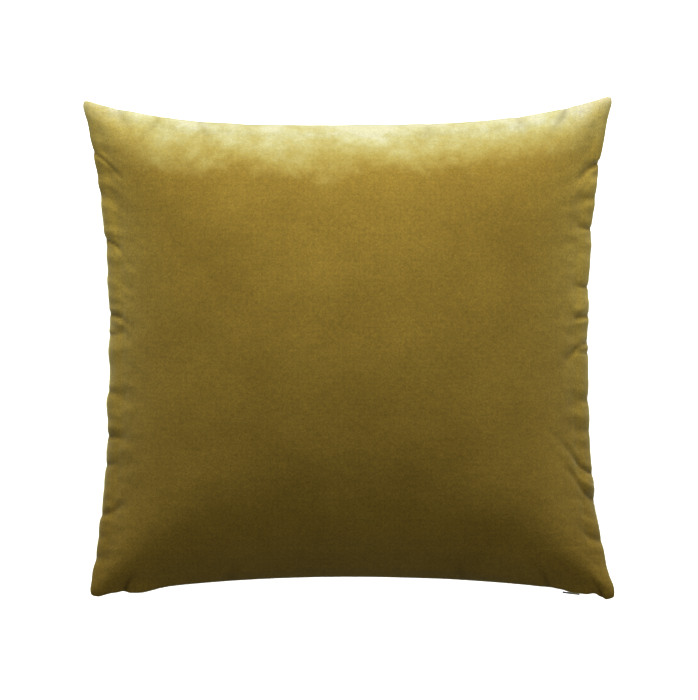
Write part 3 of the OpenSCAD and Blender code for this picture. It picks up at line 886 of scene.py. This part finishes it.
insertSettings = {
    "inset": 17 * mm,     # from the cover's outline, past the zip and the seam allowance
    "under": 2.6 * mm,    # below the cover's skin
    "seam": 3 * mm,       # from the ticking's seam to the filling
    "wadding": 1.6 * mm,  # ticking to filling
    "sinkOver": 12 * mm,  # it sinks fully where the panel has risen this far
}


def innerLayer(panel, upward, inset, under, stride=2):
    # the panel drawn in towards the middle and sunk below its skin
    layer = panel[::stride, ::stride].copy()
    u, v = np.meshgrid(fineSpread[::stride], fineSpread[::stride], indexing="ij")
    normals = surfaceNormals(layer) * (1 if upward else -1)
    rise = layer[..., 2] - seamHeight
    layer[..., 0] -= inset * np.sign(u) * np.abs(u) ** 9
    layer[..., 1] -= inset * np.sign(v) * np.abs(v) ** 9
    layer -= normals * (under * np.clip(np.abs(rise) / insertSettings["sinkOver"], 0, 1))[..., None]
    return layer


def closedForm(name, top, bottom, material, nodes):
    # a top and a bottom that share their outline
    n = top.shape[0]
    onEdge = np.ones((n, n), bool)
    onEdge[1:-1, 1:-1] = False
    top[onEdge, 2] = seamHeight
    topIds = np.arange(n * n).reshape(n, n)
    bottomIds = topIds.copy()
    bottomIds[~onEdge] = n * n + np.arange((~onEdge).sum())
    points = np.concatenate([top.reshape(-1, 3), bottom[~onEdge]])
    faces = np.concatenate([gridFaces(topIds), gridFaces(bottomIds, True)])
    piece = meshObject(name, points, faces, material)
    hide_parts(*nodes)


def makeInsert(front, back):
    inset = insertSettings["inset"]
    under = insertSettings["under"]
    closedForm("insert_case", innerLayer(front, True, inset, under), innerLayer(back, False, inset, under),
               tickingCloth, ("insert_front_ticking", "insert_back_ticking"))
    inset += insertSettings["seam"]
    under += insertSettings["wadding"]
    closedForm("insert_fibre", innerLayer(front, True, inset, under), innerLayer(back, False, inset, under),
               fibreFill, ("insert_filling",))
    print("insert made")


def makeCover():
    spread, front, back = simulateCover()
    panels = []
    for name, grid, upward, node, seed in (("velvet_front", front, True, "front_panel", 3),
                                           ("velvet_back", back, False, "back_panel", 8)):
        panel = finishPanel(refine(grid, spread), upward, seed)
        points, faces, uv, creaseShade = closedPanel(panel, upward)
        piece = meshObject(name, points, faces, velvet, uv, creaseShade)
        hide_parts(node)
        panels.append(panel)
    print("velvet panels made")
    return panels


frontPanel, backPanel = makeCover()
makeInsert(frontPanel, backPanel)


# stitching that follows the cover's own outline, and the zip's wound coils

stitching = {
    "stitch": 3 * mm,         # length of one stitch
    "thread": 0.22 * mm,      # the thread's radius
    "inset": 1.0 * mm,        # from the seam's outline
    "overlockAt": 9.8 * mm,   # middle of the overlocking, from the outline
    "overlockWide": 1.8 * mm,
    "overlockHigh": 1.7 * mm,
    "overlockPitch": 2.2 * mm,
    "overlockFrom": 34 * mm,  # it starts this far from the zip edge
    "step": 0.55 * mm,        # between points along the seam's thread
    "dip": 0.12 * mm,         # how far each stitch rises and sinks
    "coilPitch": 1.5 * mm,
    "coilWire": 0.17 * mm,
    "coilEnd": 0.5 * mm,      # the coil stops this far inside its plain rod
}


def sewnLoop(inset):
    # the seam from one end of the zip's mouth, round three corners, to the other end
    loop = insetRim(frontPanel, inset, 0.0, 1)
    end = zipMouth["half"] + zipMouth["taper"]
    start = int(np.argmax(loop[:, 0] > end))
    return np.concatenate([loop[start:], loop[:int(np.argmax(loop[:, 0] > -end))]])


def makeStitches():
    # a thread along the seam that thins and dips where it enters the cloth, a sine's hump each stitch
    path, far = evenly(sewnLoop(stitching["inset"]), stitching["step"])
    beat = np.abs(np.sin(np.pi * far / stitching["stitch"]))
    path[:, 2] += (beat - 0.5) * stitching["dip"]
    points, faces = tubeAlong(path, stitching["thread"] * (0.55 + 0.45 * beat), (0, 0, 1))
    piece = meshObject("seam_stitches", points, faces, oliveThread)
    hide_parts("cover_seam_thread")


def awayFromCloth(points):
    # square to the path and level
    out = np.cross(np.gradient(points, axis=0), (0, 0, 1))
    return out / np.linalg.norm(out, axis=1, keepdims=True)


def makeOverlock():
    # loops of thread wound round both raw edges, on the three sewn edges
    loop = sewnLoop(stitching["overlockAt"])
    core = loop[loop[:, 1] > -halfDepth + stitching["overlockFrom"]]
    path, radial = woundPath(core, awayFromCloth, stitching["overlockWide"], stitching["overlockHigh"],
                             stitching["overlockPitch"], 8)
    points, faces = tubeAlong(path, stitching["thread"], radial, 5)
    piece = meshObject("overlock_loops", points, faces, paleThread)
    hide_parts("seam_overlock")


def awayFromCentre(points):
    # level, and straight out from the centre of the zip's arc
    out = points - np.array([0, zipCentre.y, 0])
    out[:, 2] = 0
    return out / np.linalg.norm(out, axis=1, keepdims=True)


def makeCoils():
    # each coil is a helix of nylon on the arc about the zip's centre, inside its plain rod
    for name, node in (("coil_front", "zip_coil_front"), ("coil_back", "zip_coil_back")):
        low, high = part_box(node)
        rod = (high.z - low.z) / 2
        reach = high.y - zipCentre.y - rod
        half = math.asin(high.x / (reach + rod)) - stitching["coilEnd"] / reach
        turn = np.linspace(-half, half, 400)
        core = np.stack([reach * np.sin(turn), zipCentre.y + reach * np.cos(turn),
                         np.full_like(turn, (low.z + high.z) / 2)], 1)
        wire = stitching["coilWire"]
        path, radial = woundPath(core, awayFromCentre, rod - wire, rod - wire, stitching["coilPitch"], 9)
        points, faces = tubeAlong(path, wire, radial, 5)
        piece = meshObject(name, points, faces, coilNylon)
        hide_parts(node)


makeStitches()
makeOverlock()
makeCoils()
print("stitching and coils made")


# floor and studio light

studio = {
    # each softbox: place, size, power, colour
    "boxes": {
        "key": ((-0.15, 1.95, 0.75), 0.9, 60, (1, 0.99, 0.96)),
        "top": ((0.0, 0.9, 2.0), 1.0, 11.5, (1, 1, 1)),
        "right": ((1.45, 1.25, 0.42), 0.7, 21, (1, 1, 1)),
        "left": ((-1.5, 1.0, 0.42), 0.7, 7.5, (1, 1, 1)),
        "fill": ((0.1, -0.5, 2.5), 1.4, 12.5, (1, 1, 1)),
    },
    "floorSun": 4.6,
    "floorSunAngle": 12,  # degrees
    "world": 0.08,
    "floorReach": 20,
    "floorColour": (0.9, 0.9, 0.9, 1),
    "floorRoughness": 0.9,
}


def softbox(name, place, size, power, colour):
    data = bpy.data.lights.new(name, "AREA")
    data.shape = "SQUARE"
    data.size = size
    data.energy = power
    data.color = colour
    light = bpy.data.objects.new(name, data)
    light.location = place
    aim = Vector((0, 0, seamHeight)) - light.location
    light.rotation_euler = aim.to_track_quat("-Z", "Y").to_euler()
    bpy.context.scene.collection.objects.link(light)


def makeStudio():
    for name, box in studio["boxes"].items():
        softbox(name, *box)
    world = bpy.data.worlds.new("studio")
    world.use_nodes = True
    sky = world.node_tree
    dim = sky.nodes["Background"]
    dim.inputs["Color"].default_value = (1, 1, 1, 1)
    dim.inputs["Strength"].default_value = studio["world"]
    # the wall behind is white to look at, while the room gives only a little light
    wall = sky.nodes.new("ShaderNodeBackground")
    wall.inputs["Color"].default_value = (1, 1, 1, 1)
    seen = sky.nodes.new("ShaderNodeLightPath")
    either = sky.nodes.new("ShaderNodeMixShader")
    sky.links.new(seen.outputs["Is Camera Ray"], either.inputs["Fac"])
    sky.links.new(dim.outputs["Background"], either.inputs[1])
    sky.links.new(wall.outputs["Background"], either.inputs[2])
    sky.links.new(either.outputs["Shader"], sky.nodes["World Output"].inputs["Surface"])
    bpy.context.scene.world = world
    bpy.context.scene.view_settings.view_transform = "Standard"

    material, nodes, links, shader = newMaterial("paleFloor")
    shader.inputs["Base Color"].default_value = studio["floorColour"]
    shader.inputs["Roughness"].default_value = studio["floorRoughness"]
    mesh = bpy.data.meshes.new("floor")
    reach = studio["floorReach"]
    square = [(-reach, -reach, 0), (reach, -reach, 0), (reach, reach, 0), (-reach, reach, 0)]
    mesh.from_pydata(square, [], [(0, 1, 2, 3)])
    mesh.materials.append(material)
    floor = bpy.data.objects.new("floor", mesh)
    bpy.context.scene.collection.objects.link(floor)
    floor.visible_diffuse = False  # it doesn't brighten the velvet's shaded side
    floor.visible_glossy = False

    # a light for the floor alone, so that its shadows stay pale
    onlyFloor = bpy.data.collections.new("onlyFloor")
    onlyFloor.objects.link(floor)
    sun = bpy.data.lights.new("floorSun", "SUN")
    sun.energy = studio["floorSun"]
    sun.angle = math.radians(studio["floorSunAngle"])
    wash = bpy.data.objects.new("floorSun", sun)
    wash.location = (0, 0, 3)
    bpy.context.scene.collection.objects.link(wash)
    wash.light_linking.receiver_collection = onlyFloor
    print("studio ready")


makeStudio()
